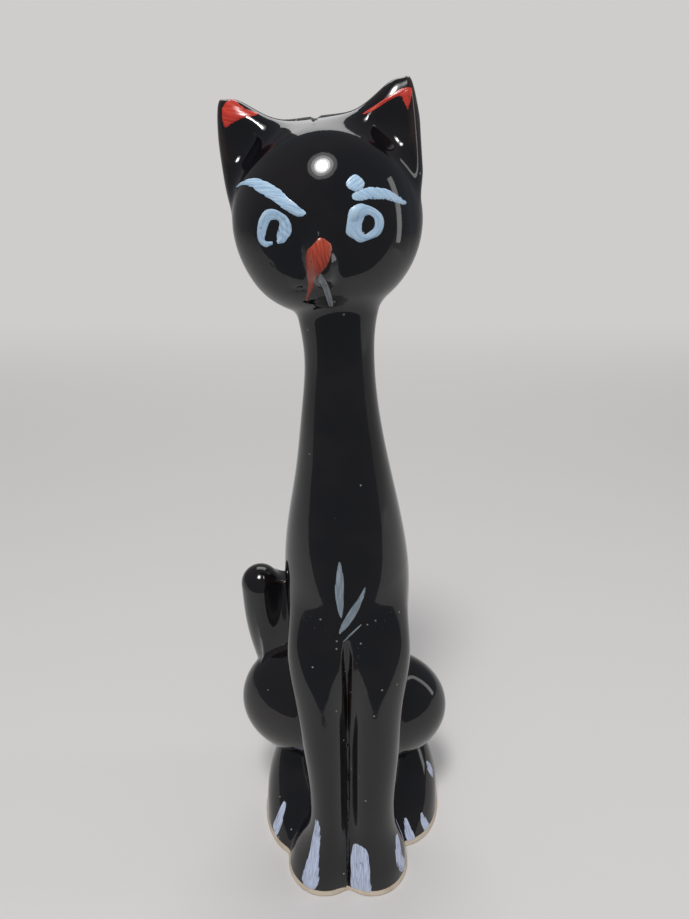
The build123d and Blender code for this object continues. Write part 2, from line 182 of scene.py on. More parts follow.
def head_casting(x, y, z):
    sideways, back, up = on_head(x, y, z)
    skull = ball(sideways, back, up, skull_half)
    nose = ball(sideways, back - nose_back, up - nose_up, nose_half)
    front = np.clip(-back / 8, 0, 1)

    def swell(middle, reach):
        return np.exp(-((sideways - middle[0]) / reach[0])**2 - ((up - middle[1]) / reach[1])**2)
    relief = 0.0
    for middle_x, middle_up, reach_x, reach_up, rise in face_relief:
        relief += rise * swell((middle_x, middle_up), (reach_x, reach_up))
    ripple = np.sin(sideways * 2.3 + 1.6 * np.sin(up * 1.1)) * np.sin(up * 2.0 + 1.3 * np.sin(sideways * 0.9))
    pucker = pucker_depth * swell(pucker_middle, pucker_reach) * ripple
    return smooth_min(skull, nose, nose_fillet) - front * (relief + pucker)


clay["head_casting"] = head_casting


# ---- Ears: upright fins of clay on the corners of the skull, dished in front by a thumb ----
# Each starts low over the crown, rises to its point and drops down the side of the head.
ear_sections = (  # in from the skull's side, tip over the crown, root under it, half depth
    (22.8, 0.1, 23.9, 8.5), (17.8, 0.6, 23.9, 8.0), (13.3, 1.9, 23.6, 7.2), (8.8, 4.6, 23.2, 6.2),
    (4.5, 6.8, 22.4, 5.0), (2.2, 7.0, 21.4, 4.2), (0.4, 5.0, 19.4, 3.0), (-0.7, -1.4, 15.4, 1.4),
)
fin = curve_through([
    (skull_half[0] - inset, half_depth, skull_half[2] + (tip - root) / 2, (tip + root) / 2)
    for inset, tip, root, half_depth in ear_sections
])
ear_inner_end, ear_outer_end = (skull_half[0] - ear_sections[end][0] for end in (0, -1))
dish_middle, dish_half = (18.8, -9.0, 21.0), (6.4, 6.3, 7.6)
ear_edge_radius = 1.2


def ear(side):
    def form(x, y, z):
        sideways, back, up = on_head(x, y, z)
        out = sideways * side
        half_depth, middle, half_height = fin(out)
        body = oval(back, up, 0, middle, half_depth, half_height)
        body = smooth_max(np.maximum(body, ear_inner_end - out), out - ear_outer_end, ear_edge_radius)
        dish = ball(out - dish_middle[0], back - dish_middle[1], up - dish_middle[2], dish_half)
        return smooth_max(body, -dish, ear_edge_radius)
    return form


clay["left_ear"] = ear(1)
clay["right_ear"] = ear(-1)

# ---- Forelegs: two straight columns of clay that meet in a groove down the front ----
# They are luted to the torso, melt into the chest at the top and spread into the front paws below.
groove_x = -0.8
foreleg_sections = {  # height, middle out from the groove, middle y, half width, half depth
    "left_foreleg": (
        (2, 8.1, -21.7, 12.5, 13.6), (8, 8.1, -21.6, 11.8, 12.8), (16, 7.9, -21.2, 9.6, 10.9),
        (27, 7.8, -20.7, 8.3, 9.8), (46, 8.2, -19.8, 8.6, 9.4), (70, 8.9, -18.4, 9.2, 9.2),
        (92, 9.5, -16.5, 9.8, 8.9), (112, 7.4, -8.5, 6.5, 8.0),
    ),
    "right_foreleg": (
        (2, 8.0, -21.7, 12.6, 13.6), (8, 7.5, -21.6, 11.3, 12.8), (16, 6.5, -21.2, 8.6, 10.9),
        (27, 6.2, -20.7, 7.1, 9.8), (46, 7.0, -19.8, 7.5, 9.4), (70, 8.7, -18.4, 9.0, 9.2),
        (92, 9.4, -16.5, 9.7, 8.9), (112, 7.4, -8.5, 6.5, 8.0),
    ),
}
for name, side in (("left_foreleg", 1), ("right_foreleg", -1)):
    clay[name] = column([(z, groove_x + side * out, *rest) for z, out, *rest in foreleg_sections[name]])
groove = column((  # the slit that a knife leaves between the legs, wide under the chest
    (2, -0.8, -35.0, 0.3, 3.2), (30, -0.9, -30.6, 0.3, 3.4), (56, -1.1, -28.6, 0.35, 3.8),
    (68, -1.2, -27.6, 0.9, 5.0), (82, -1.3, -26.4, 1.25, 5.4), (92, -1.4, -25.2, 1.2, 5.0),
    (96, -1.5, -24.6, 0.8, 4.0),
))


# ---- Haunches: a ball of clay on each side of the torso, behind the forelegs ----
# Each is luted on to the torso, and the glaze fills the join.
def haunch(middle, half):
    def form(x, y, z):
        return ball(x - middle[0], y - middle[1], z - middle[2], half)
    return form


clay["left_haunch"] = haunch((9.5, 4.0, 48.0), (25.3, 17.0, 21.4))
clay["right_haunch"] = haunch((-13.6, 4.0, 51.7), (25.3, 17.0, 22.7))

# ---- Hind paws: long rounded slippers under the haunches, beside the front paws ----
# They are luted to the torso and the haunch, and stand on the same foot.
paw_sections = (  # over the foot, set back, narrowed, shortened
    (0, 0, 0, 0), (6, 1.9, 0.2, 2.0), (12, 4.2, 1.1, 5.0), (18, 6.0, 3.2, 9.2), (23, 7.0, 6.4, 14.5),
    (27.5, 7.6, 11.0, 19.5),
)
paw_footprints = {"left_hind_paw": (18.4, 7.0, 15.4, 22.8), "right_hind_paw": (-17.0, 4.5, 14.9, 24.6)}
for name, (middle_x, middle_y, half_width, half_depth) in paw_footprints.items():
    clay[name] = column([
        (foot_top + rise, middle_x, middle_y + back, half_width - narrowed, half_depth - shortened)
        for rise, back, narrowed, shortened in paw_sections
    ])


# ---- Tail: a rolled coil of clay up the cat's right side, stuck to the torso by a web ----
# It comes from behind the haunch, bends forward as it rises and ends in a rounded tip.
tail_route = (  # height, x, y, radius
    (12, -16.0, 19.0, 6.8), (27, -20.0, 22.0, 6.4), (45, -25.5, 20.5, 5.8), (64, -29.2, 14.0, 5.6),
    (82, -30.6, 8.5, 6.2), (98, -30.8, 6.0, 6.5),
)
tail_at = curve_through(tail_route)
web_y, web_half_thickness = 7.0, 4.0
web_height, web_half_height = 79.0, 21.0
web_fillet = 2.5


def tail(x, y, z):
    bottom, top = tail_route[0][0], tail_route[-1][0]
    height = np.clip(z, bottom, top)
    middle_x, middle_y, radius = tail_at(height)
    before, after = tail_at(np.maximum(height - 0.5, bottom)), tail_at(np.minimum(height + 0.5, top))
    slope_x, slope_y = after[0] - before[0], after[1] - before[1]
    across, along, over = x - middle_x, y - middle_y, z - height
    lean = (across * slope_x + along * slope_y) / np.sqrt(1 + slope_x**2 + slope_y**2)
    coil = np.sqrt(np.maximum(across**2 + along**2 + over**2 - lean**2, 1e-6)) - radius
    tip_x = tail_route[-1][1]
    slab = np.maximum(np.abs(y - web_y) - web_half_thickness, np.abs(z - web_height) - web_half_height)
    web = np.maximum(slab, np.maximum(tip_x - x, x))
    return smooth_min(coil, web, web_fillet)


clay["tail"] = tail


# ---- Black glaze: one glassy coat over all the clay pieces, pooled a little in the creases ----
# The dip rounds every join, and it is wiped off above the foot. Each piece is cut from the coat
# along its own join with the next one.
fillets = {
    "legs": 4.0, "chest": 5.0, "groove": 0.8, "haunch": 4.0, "flank": 1.0, "paw": 2.2, "tail": 1.6,
    "ear": 3.0, "neck": 2.0,
}


def field(x, y, z):
    """Distance to the glazed surface of the whole cat."""
    form = {name: shape(x, y, z) for name, shape in clay.items()}
    legs = smooth_min(form["left_foreleg"], form["right_foreleg"], fillets["legs"])
    front = smooth_min(form["body_casting"], legs, fillets["chest"])
    front = smooth_max(front, -groove(x, y, z), fillets["groove"])
    sides = form["body_casting"]
    for name in ("left_haunch", "right_haunch"):
        sides = smooth_min(sides, form[name], fillets["haunch"])
    body = smooth_min(front, sides, fillets["flank"])
    for name in ("left_hind_paw", "right_hind_paw"):
        body = smooth_min(body, form[name], fillets["paw"])
    body = smooth_min(body, form["tail"], fillets["tail"])
    head = form["head_casting"]
    for name in ("left_ear", "right_ear"):
        head = smooth_min(head, form[name], fillets["ear"])
    return smooth_min(body, head, fillets["neck"])


def downhill(of, points, step=0.05):
    """Values and slopes of a field at points."""
    value = of(*points.T)
    slope = np.empty_like(points)
    for axis in range(3):
        nudge = np.zeros(3)
        nudge[axis] = step
        slope[:, axis] = (of(*(points + nudge).T) - of(*(points - nudge).T)) / (2 * step)
    return value, slope


def settle(of, points, times=4):
    """Moves points on to a field's surface."""
    for _ in range(times):
        value, slope = downhill(of, points)
        points = points - slope * (value / (np.sum(slope**2, axis=1) + 1e-9))[:, None]
    return points


def surface(of, low, high, step):
    """Points and four-sided faces of a field's surface, one point in each cell that it crosses."""
    counts = np.ceil((np.array(high) - low) / step).astype(int) + 1
    x, y, z = (low[axis] + step * np.arange(counts[axis]) for axis in range(3))
    values = of(x[:, None, None], y[None, :, None], z[None, None, :]).astype(np.float32)
    values = np.broadcast_to(values, counts)
    inside = values < 0
    cells = counts - 1
    total, crossings = np.zeros((*cells, 3), np.float32), np.zeros(cells, np.int8)
    corners = [np.array((a, b, c)) for a in (0, 1) for b in (0, 1) for c in (0, 1)]
    for one in corners:
        for axis in range(3):
            if one[axis]:
                continue
            two = one + np.eye(3, dtype=int)[axis]
            first = values[tuple(slice(a, a + n) for a, n in zip(one, cells))]
            second = values[tuple(slice(a, a + n) for a, n in zip(two, cells))]
            crossed = (first < 0) != (second < 0)
            share = np.where(crossed, first / np.where(crossed, first - second, 1), 0)
            crossings += crossed
            for k in range(3):
                total[..., k] += np.where(crossed, one[k] + (share if k == axis else 0), 0)
    places = np.argwhere(crossings > 0)
    number = np.full(cells, -1, np.int64)
    number[tuple(places.T)] = np.arange(len(places))
    inner = total[tuple(places.T)] / crossings[tuple(places.T)][:, None]
    points = np.array(low) + (places + inner) * step
    faces = []
    for axis in range(3):
        u, v = (axis + 1) % 3, (axis + 2) % 3
        here = [slice(1, -1)] * 3
        here[axis] = slice(0, -1)
        there = list(here)
        there[axis] = slice(1, None)
        change = inside[tuple(here)].astype(int) - inside[tuple(there)].astype(int)
        for sign in (1, -1):
            edges = np.argwhere(change == sign)
            edges[:, u] += 1
            edges[:, v] += 1
            back_u, back_v = np.eye(3, dtype=int)[u], np.eye(3, dtype=int)[v]
            ring = [edges, edges - back_u, edges - back_u - back_v, edges - back_v]
            face = np.stack([number[tuple(corner.T)] for corner in ring], axis=1)
            faces.append(face if sign == 1 else face[:, ::-1])
    return points, np.concatenate(faces)


def relax(of, points, faces, times):
    """Evens out the faces without leaving the surface."""
    ends = np.concatenate([faces, np.roll(faces, 1, axis=1)]).reshape(-1)
    mates = np.concatenate([np.roll(faces, 1, axis=1), faces]).reshape(-1)
    count = np.bincount(ends, minlength=len(points))[:, None]
    for _ in range(times):
        total = [np.bincount(ends, points[mates, k], len(points)) for k in range(3)]
        points = settle(of, points * 0.4 + np.stack(total, axis=1) / count * 0.6, 1)
    return settle(of, points)


def edges_of(triangles):
    """The three edges of each triangle, in the order that it is drawn."""
    return np.concatenate([triangles[:, (0, 1)], triangles[:, (1, 2)], triangles[:, (2, 0)]])


def cut(points, triangles, values, snap=0.12):
    """Splits the triangles along the line where the values at their points are zero."""
    values = values.copy()
    edges = np.unique(np.sort(edges_of(triangles), axis=1), axis=0)
    for _ in range(2):
        a, b = values[edges[:, 0]], values[edges[:, 1]]
        crossed = a * b < 0
        share = np.where(crossed, a / np.where(crossed, a - b, 1), 0.5)
        values[edges[crossed & (share < snap), 0]] = 0
        values[edges[crossed & (share > 1 - snap), 1]] = 0
    a, b = values[edges[:, 0]], values[edges[:, 1]]
    split = edges[a * b < 0]
    share = (values[split[:, 0]] / (values[split[:, 0]] - values[split[:, 1]]))[:, None]
    added = points[split[:, 0]] * (1 - share) + points[split[:, 1]] * share
    size = len(points)
    codes = split[:, 0] * size + split[:, 1]

    def new_point(first, second):
        low, high = np.minimum(first, second), np.maximum(first, second)
        return size + np.searchsorted(codes, low * size + high)
    signs = np.sign(values[triangles])
    result = [triangles[~((signs.min(1) < 0) & (signs.max(1) > 0))]]
    for turn in range(3):
        t = np.roll(triangles, -turn, axis=1)
        s = np.roll(signs, -turn, axis=1)
        lone = (s[:, 0] * s[:, 1] < 0) & (s[:, 0] * s[:, 2] < 0)
        a, b, c = t[lone].T
        ab, ac = new_point(a, b), new_point(a, c)
        result += [np.stack((a, ab, ac), 1), np.stack((ab, b, c), 1), np.stack((ab, c, ac), 1)]
        through = (s[:, 0] == 0) & (s[:, 1] * s[:, 2] < 0)
        a, b, c = t[through].T
        bc = new_point(b, c)
        result += [np.stack((a, b, bc), 1), np.stack((a, bc, c), 1)]
    return np.concatenate([points, added]), np.concatenate(result)


def unit(vectors):
    return vectors / (np.linalg.norm(vectors, axis=1)[:, None] + 1e-12)


def facing(points, triangles):
    """The way that the surface faces at each of its points."""
    a, b, c = points[triangles].transpose(1, 0, 2)
    square = np.cross(b - a, c - a)
    ends = triangles.ravel()
    total = [np.bincount(ends, np.repeat(square[:, k], 3), len(points)) for k in range(3)]
    return unit(np.stack(total, 1))


def closed(points, under, triangles):
    """The triangles of a closed layer: a patch, the same patch underneath, and its rim."""
    count = len(points)
    edges = edges_of(triangles)
    rim = edges[~np.isin(edges[:, 0] * count + edges[:, 1], edges[:, 1] * count + edges[:, 0])]
    sides = [(rim[:, 1], rim[:, 0], rim[:, 0] + count), (rim[:, 1], rim[:, 0] + count, rim[:, 1] + count)]
    faces = np.concatenate([triangles, triangles[:, ::-1] + count] + [np.stack(side, 1) for side in sides])
    return np.concatenate([points, under]), faces


def add_piece(name, points, faces, normals, finish, slot, *nodes):
    """Makes a mesh in metres, shaded by its normals, that stands for CAD nodes."""
    mesh = bpy.data.meshes.new(name)
    mesh.from_pydata((points * mm).tolist(), [], faces.tolist())
    mesh.polygons.foreach_set("use_smooth", [True] * len(mesh.polygons))
    mesh.normals_split_custom_set_from_vertices(normals.tolist())
    mesh.materials.append(finish)
    obj = bpy.data.objects.new(name, mesh)
    bpy.context.scene.collection.objects.link(obj)
    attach(obj, "root")
    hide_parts(*nodes)
    return mesh


def note(mesh, name, values):
    """Keeps a value for each point of a mesh, for its material to read."""
    mesh.attributes.new(name, "FLOAT", "POINT").data.foreach_set("value", np.asarray(values, np.float32))


class Wire:
    """A shader socket that can be used in plain arithmetic."""

    def __init__(self, tree, socket):
        self.tree, self.socket = tree, socket

    def math(self, operation, first, second):
        return node(self.tree, "ShaderNodeMath", {"operation": operation}, {0: first, 1: second})

    def __add__(self, other):
        return self.math("ADD", self, other)

    __radd__ = __add__

    def __sub__(self, other):
        return self.math("SUBTRACT", self, other)

    def __rsub__(self, other):
        return self.math("SUBTRACT", other, self)

    def __mul__(self, other):
        return self.math("MULTIPLY", self, other)

    __rmul__ = __mul__

    def other(self, name):
        return Wire(self.tree, self.socket.node.outputs[name])


def node(tree, kind, settings=None, inputs=None, output=0):
    """Adds a shader node, sets it up, joins its inputs and returns one of its outputs."""
    made = tree.nodes.new(kind)
    for key, value in (settings or {}).items():
        setattr(made, key, value)
    for key, value in (inputs or {}).items():
        if isinstance(value, Wire):
            tree.links.new(value.socket, made.inputs[key])
        else:
            made.inputs[key].default_value = value
    return Wire(tree, made.outputs[output]) if made.outputs else made


def ramp(value, low, high):
    """0 at low, 1 at high, smooth between."""
    return node(value.tree, "ShaderNodeMapRange", {"interpolation_type": "SMOOTHSTEP"},
                {"Value": value, "From Min": low, "From Max": high})


def blend(factor, first, second):
    """One colour turning into another."""
    return node(factor.tree, "ShaderNodeMix", {"data_type": "RGBA"}, {0: factor, 6: first, 7: second}, 2)


def new_finish(name):
    """An empty material, its node tree, and the place on the object in metres."""
    material = bpy.data.materials.new(name)
    material.use_nodes = True
    tree = material.node_tree
    tree.nodes.clear()
    return material, tree, node(tree, "ShaderNodeTexCoord", output="Object")


def noise(place, scale, detail=3.0):
    return node(place.tree, "ShaderNodeTexNoise", {}, {"Vector": place, "Scale": scale, "Detail": detail})


def noted(tree, name):
    return node(tree, "ShaderNodeAttribute", {"attribute_name": name}, output="Fac")


def specks(place, scale, size, share):
    """Round specks of a size, in a share of the cells of a scattered grid."""
    cells = node(place.tree, "ShaderNodeTexVoronoi", {}, {"Vector": place, "Scale": scale}, "Distance")
    chance = node(place.tree, "ShaderNodeSeparateColor", {}, {"Color": cells.other("Color")})
    return (1 - ramp(cells, size * 0.5, size)) * ramp(share - chance, 0.0, 0.01)


def bumps(height):
    """Bumps whose height is given in millimetres."""
    return node(height.tree, "ShaderNodeBump", {}, {"Height": height, "Distance": mm, "Strength": 1.0})


def cover(tree, **inputs):
    """The shader at the end of a material."""
    names = {key.replace("_", " "): value for key, value in inputs.items()}
    shader = node(tree, "ShaderNodeBsdfPrincipled", {}, names)
    node(tree, "ShaderNodeOutputMaterial", {}, {"Surface": shader})


def black_glaze():
    material, tree, place = new_finish("black_glaze")
    crease = noted(tree, "crease")
    thin = ramp(noted(tree, "edge"), 0.25, 0.9)
    cloud = ramp(noise(place, 60.0), 0.40, 0.70)
    dust = ramp(noise(place, 110.0, 4.0), 0.48, 0.62) * ramp(crease, 0.25, 0.9)
    fine = specks(place, 1500.0, 0.22, 0.35) * dust
    coarse = specks(place, 420.0, 0.16, crease * 0.25 + 0.035)
    colour = blend(cloud * 0.7, (0.0035, 0.0035, 0.0050, 1), (0.0100, 0.0070, 0.0065, 1))
    colour = blend(thin * 0.8, colour, (0.030, 0.017, 0.011, 1))
    colour = blend(fine * 0.55, colour, (0.22, 0.24, 0.30, 1))
    colour = blend(coarse * 0.75, colour, (0.42, 0.40, 0.38, 1))
    height = noise(place, 75.0, 1.0) * 0.10 + noise(place, 380.0, 2.0) * 0.010
    height = height + coarse * 0.05 - fine * 0.02
    rough = noise(place, 150.0) * 0.05 + 0.03 + coarse * 0.35 + fine * 0.25 + dust * 0.05
    cover(tree, Base_Color=colour, Roughness=rough, IOR=1.55, Normal=bumps(height))
    return material


low, high = (np.array(corner) / mm for corner in cad_box)
glaze_step, glaze_margin = 0.8, 3.0
coat_depth = 1.2
glaze_overlap = 0.3  # how far the coat runs down inside the foot's flare
points, faces = surface(field, low - glaze_margin, high + glaze_margin, glaze_step)
points = relax(field, settle(field, points, 3), faces, 3)
skin = np.concatenate([faces[:, (0, 1, 2)], faces[:, (0, 2, 3)]])

skin = skin[points[skin][:, :, 2].mean(1) > foot_top - glaze_overlap]
names = list(clay)


def clay_distances(places):
    """The distance from each clay piece, one row for each."""
    return np.stack([clay[name](*places.T) for name in names])


for index in range(len(names)):
    distances = clay_distances(points)
    points, skin = cut(points, skin, distances[index] - np.delete(distances, index, axis=0).min(0))
owner = clay_distances(points[skin].mean(1)).argmin(0)
normals = unit(downhill(field, points)[1])

bend = -6 * field(*points.T)
for axis in np.eye(3):
    bend += field(*(points + axis).T) + field(*(points - axis).T)
nearest = np.sort(clay_distances(points), axis=0)
crease_reach = 2.0
crease = np.exp(-(nearest[1] - nearest[0]) / crease_reach)
glaze = black_glaze()
for index, name in enumerate(names):
    used, patch = np.unique(skin[owner == index], return_inverse=True)
    top, up = points[used], normals[used]
    layer_points, layer_faces = closed(top, top - up * coat_depth, patch.reshape(-1, 3))
    both_ways = np.concatenate([up, -up])
    mesh = add_piece(f"{name}_glazed", layer_points, layer_faces, both_ways, glaze, "black_glaze", name)
    note(mesh, "crease", np.tile(crease[used], 2))
    note(mesh, "edge", np.tile(bend[used], 2))


# ---- Foot: the bare clay rim that the cat stands on, flared and sponged round at its lower edge ----
# The body is a cream earthenware. It was wiped free of glaze so that it would not stick to the kiln
# shelf, and has picked up a little grime since. Its lowest edge is darkened with a painted shadow
# where it stands on the table. A vent hole in the middle let the air out.
foot_step = 0.55
foot_flare = 0.62
tuck = 1.0                     # how far the foot runs up inside the glaze
tuck_insets = (-0.45, -0.5)    # halfway up the tuck, and at its top
foot_edge_radius, vent_edge_radius = 0.5, 0.3
vent_radius, vent_y = 1.5, 6.0


def foot(x, y, z):
    grow = np.interp(z, (0, foot_top, foot_top + tuck / 2, foot_top + tuck), (foot_flare, 0.0, *tuck_insets))
    sole = clay["body_casting"](x, y, foot_top)
    for name in ("left_foreleg", "right_foreleg", "left_hind_paw", "right_hind_paw"):
        sole = smooth_min(sole, clay[name](x, y, foot_top), fillets["paw"])
    half_height = (foot_top + tuck) / 2
    slab = smooth_max(sole - grow, np.abs(z - half_height) - half_height, foot_edge_radius)
    return smooth_max(slab, vent_radius - np.sqrt(x**2 + (y - vent_y)**2), vent_edge_radius)


def bare_clay():
    material, tree, place = new_finish("bare_clay")
    height = node(tree, "ShaderNodeSeparateXYZ", {}, {"Vector": place}, "Z")
    grime = ramp(noise(place, 160.0, 5.0), 0.45, 0.72)
    # Painted shadow: the clay is darkened within 0.9 mm of the table, where the foot stands on it.
    painted_table_shadow = 1 - ramp(height, 0.0, 0.0009)
    grains = specks(place, 1300.0, 0.25, 0.3)
    colour = blend(grime * 0.6, (0.66, 0.56, 0.44, 1), (0.48, 0.36, 0.26, 1))
    # The painted shadow's colour, a darker brown of the clay, laid along the bottom edge.
    colour = blend(painted_table_shadow * 0.45, colour, (0.30, 0.22, 0.16, 1))
    colour = blend(ramp(height, 0.0015, 0.0022) * 0.35, colour, (0.40, 0.30, 0.22, 1))
    colour = blend(grains * 0.35, colour, (0.25, 0.18, 0.13, 1))
    surface_height = noise(place, 900.0, 5.0) * 0.10 - grains * 0.05
    cover(tree, Base_Color=colour, Roughness=0.86 - grime * 0.15, IOR=1.45, Normal=bumps(surface_height))
    return material


foot_low, foot_high = (low[0] - 1, low[1] - 1, -1), (high[0] + 1, high[1] + 1, foot_top + 2)
foot_points, foot_faces = surface(foot, foot_low, foot_high, foot_step)
foot_points = relax(foot, settle(foot, foot_points, 3), foot_faces, 2)
foot_points[:, 2] = np.clip(foot_points[:, 2], 0, None)
foot_up = unit(downhill(foot, foot_points)[1])
add_piece("foot_bare", foot_points, foot_faces, foot_up, bare_clay(), "bare_clay", "foot")


# ---- Brows, eyes and forehead: pale blue enamel, laid on the fired glaze with a loaded brush ----
# Each stroke stands a little proud and has a rounded edge. It shows the furrows of the bristles, and
# it runs out ragged where the brush was lifted. The right eye is an open ring, the left one closed.
def outline_distance(outline, across, up):
    """Distance to a smooth closed outline, below zero inside."""
    knots = np.array(outline, float)
    share = np.linspace(0, 1, 8, endpoint=False)[:, None, None]
    before, first, second, after = (np.roll(knots, shift, axis=0) for shift in (1, 0, -1, -2))
    line = 2 * first + (second - before) * share
    line = line + (2 * before - 5 * first + 4 * second - after) * share**2
    line = 0.5 * (line + (3 * (first - second) + after - before) * share**3)
    start = line.transpose(1, 0, 2).reshape(-1, 2)
    run = np.roll(start, -1, axis=0) - start
    place = np.stack([across, up], 1)[:, None, :]
    share = np.clip(((place - start) * run).sum(2) / (run**2).sum(1), 0, 1)
    gap = np.sqrt((((start + run * share[:, :, None]) - place)**2).sum(2)).min(1)
    y, next_y = start[:, 1], start[:, 1] + run[:, 1]
    spans = (y > place[:, :, 1]) != (next_y > place[:, :, 1])
    cross_x = start[:, 0] + run[:, 0] * (place[:, :, 1] - y) / np.where(run[:, 1] == 0, 1, run[:, 1])
    within = (spans & (place[:, :, 0] < cross_x)).sum(1) % 2 == 1
    return np.where(within, -gap, gap)


bristle_rows, bristle_columns = 40, 400
bristle_length, bristle_width = 5.0, 0.28
bristle_table = np.random.default_rng(7).random((bristle_rows, bristle_columns))


def bristles(along, across):
    """0 to 1: fine furrows that run along a stroke and change slowly on the way."""
    down = np.clip(along / bristle_length + bristle_rows / 2, 0, bristle_rows - 1.01)
    side = np.clip(across / bristle_width + bristle_columns / 2, 0, bristle_columns - 1.01)
    r, c = down.astype(int), side.astype(int)
    down_share, side_share = (t * t * (3 - 2 * t) for t in (down - r, side - c))
    upper = bristle_table[r, c] * (1 - side_share) + bristle_table[r, c + 1] * side_share
    lower = bristle_table[r + 1, c] * (1 - side_share) + bristle_table[r + 1, c + 1] * side_share
    return upper * (1 - down_share) + lower * down_share


def finer(points, triangles):
    """Splits every triangle in four."""
    edges, index = np.unique(np.sort(edges_of(triangles), axis=1), axis=0, return_inverse=True)
    ab, bc, ca = index.reshape(3, -1) + len(points)
    a, b, c = triangles.T
    split = [(a, ab, ca), (ab, b, bc), (ca, bc, c), (ab, bc, ca)]
    return np.concatenate([points, points[edges].mean(1)]), np.concatenate([np.stack(t, 1) for t in split])


stroke_margin = 1.5
edge_round, edge_share = 0.3, 0.25   # a stroke is thinner within this reach of its edge
stroke_sink = 0.12                   # how far its underside lies in the glaze


def stroke(view, outline, flow, load=0.2, ragged=0.3, hole=None, pool=None):
    """One brush mark on the glaze: its points, triangles, normals and bristle coordinates."""
    origin, across_axis, up_axis, clay_names = view
    toward = np.cross(across_axis, up_axis)

    def drawn(places):
        return (places - origin) @ across_axis, (places - origin) @ up_axis

    def edge(places):
        distance = outline_distance(outline, *drawn(places))
        if hole:
            distance = np.maximum(distance, -outline_distance(hole, *drawn(places)))
        return distance + ragged * (bristles(*flow(*drawn(places))) - 0.5)
    centres = points[skin].mean(1)
    flat = np.stack(drawn(centres), 1)
    lowest, highest = np.min(outline, axis=0) - stroke_margin, np.max(outline, axis=0) + stroke_margin
    near = ((flat > lowest) & (flat < highest)).all(1) & (normals[skin[:, 0]] @ toward > 0.05)
    near &= np.isin(owner, [names.index(name) for name in clay_names])
    used, patch = np.unique(skin[near], return_inverse=True)
    mark, patch = points[used], patch.reshape(-1, 3)
    for _ in range(2):
        mark, patch = finer(mark, patch)
        mark = settle(field, mark, 1)
    mark, patch = cut(mark, patch, edge(mark), 0.2)
    patch = patch[edge(mark[patch].mean(1)) < 0]
    used, patch = np.unique(patch, return_inverse=True)
    mark, patch = settle(field, mark[used], 2), patch.reshape(-1, 3)
    slope = unit(downhill(field, mark)[1])
    inward = np.clip(-edge(mark), 0, None)
    along, across = flow(*drawn(mark))
    furrow = bristles(along, across)
    rounding = edge_share + (1 - edge_share) * (1 - np.exp(-inward / edge_round))
    height = load * rounding * (0.8 + 0.35 * (furrow - 0.5))
    if pool:
        x, y = drawn(mark)
        bead = np.clip(1 - ((x - pool[0])**2 + (y - pool[1])**2) / pool[2]**2, 0, 1)
        height += pool[3] * bead * np.clip(inward / 0.8, 0, 1)
    top = mark + slope * height[:, None]
    body, layer = closed(top, mark - slope * stroke_sink, patch)
    shading = facing(body, layer)
    shading[:len(top)] = facing(top, patch)
    return body, layer, shading, np.tile(np.stack([along, across], 1), (2, 1))


def paint(name, strokes, finish, slot):
    """Joins brush marks into the piece that stands for one enamel node."""
    counts = np.cumsum([0] + [len(mark[0]) for mark in strokes])
    body, shading, flow = (np.concatenate([mark[k] for mark in strokes]) for k in (0, 2, 3))
    layer = np.concatenate([mark[1] + count for mark, count in zip(strokes, counts)])
    mesh = add_piece(f"{name}_painted", body, layer, shading, finish, slot, name)
    note(mesh, "along", flow[:, 0])
    note(mesh, "across", flow[:, 1])


def enamel(name, thick, thin, cover_share):
    """Enamel that is paler where it is thick, and lets the glaze through in the furrows."""
    material, tree, place = new_finish(name)
    under = (0.02, 0.02, 0.025, 1)
    along, across = noted(tree, "along"), noted(tree, "across")
    brushed = node(tree, "ShaderNodeCombineXYZ", {}, {0: across * 2.6, 1: along * 0.22, 2: 0.0})
    furrows = noise(brushed, 1.0, 4.0)
    patches = noise(place, 260.0, 3.0)
    bare = ramp(furrows + patches * 0.35, cover_share + 0.40, cover_share + 0.22)
    colour = blend(ramp(furrows, 0.35, 0.65), thin, thick)
    colour = blend(bare * 0.75, colour, under)
    chips = specks(place, 900.0, 0.3, 0.06)
    colour = blend(chips * 0.6, colour, under)
    height = furrows * 0.05 - chips * 0.04 + patches * 0.02
    rough = 0.16 + furrows * 0.14 + chips * 0.3
    cover(tree, Base_Color=colour, Roughness=rough, IOR=1.5, Normal=bumps(height))
    return material


face = (np.array(skull_middle), np.array(head_sideways), np.array(head_up), ("head_casting",))


def straight(degrees, bend=0.0):
    """Bristles that follow a straight or slightly bowed stroke."""
    c, s = math.cos(math.radians(degrees)), math.sin(math.radians(degrees))

    def flow(x, y):
        along, across = x * c + y * s, y * c - x * s
        return along, across - bend * along**2
    return flow


def ring(middle_x, middle_y, taller=1.0):
    """Bristles that go round an eye."""
    def flow(x, y):
        away_x, away_y = x - middle_x, (y - middle_y) / taller
        reach = np.hypot(away_x, away_y)
        return np.arctan2(away_y, away_x) * 3.0, reach
    return flow


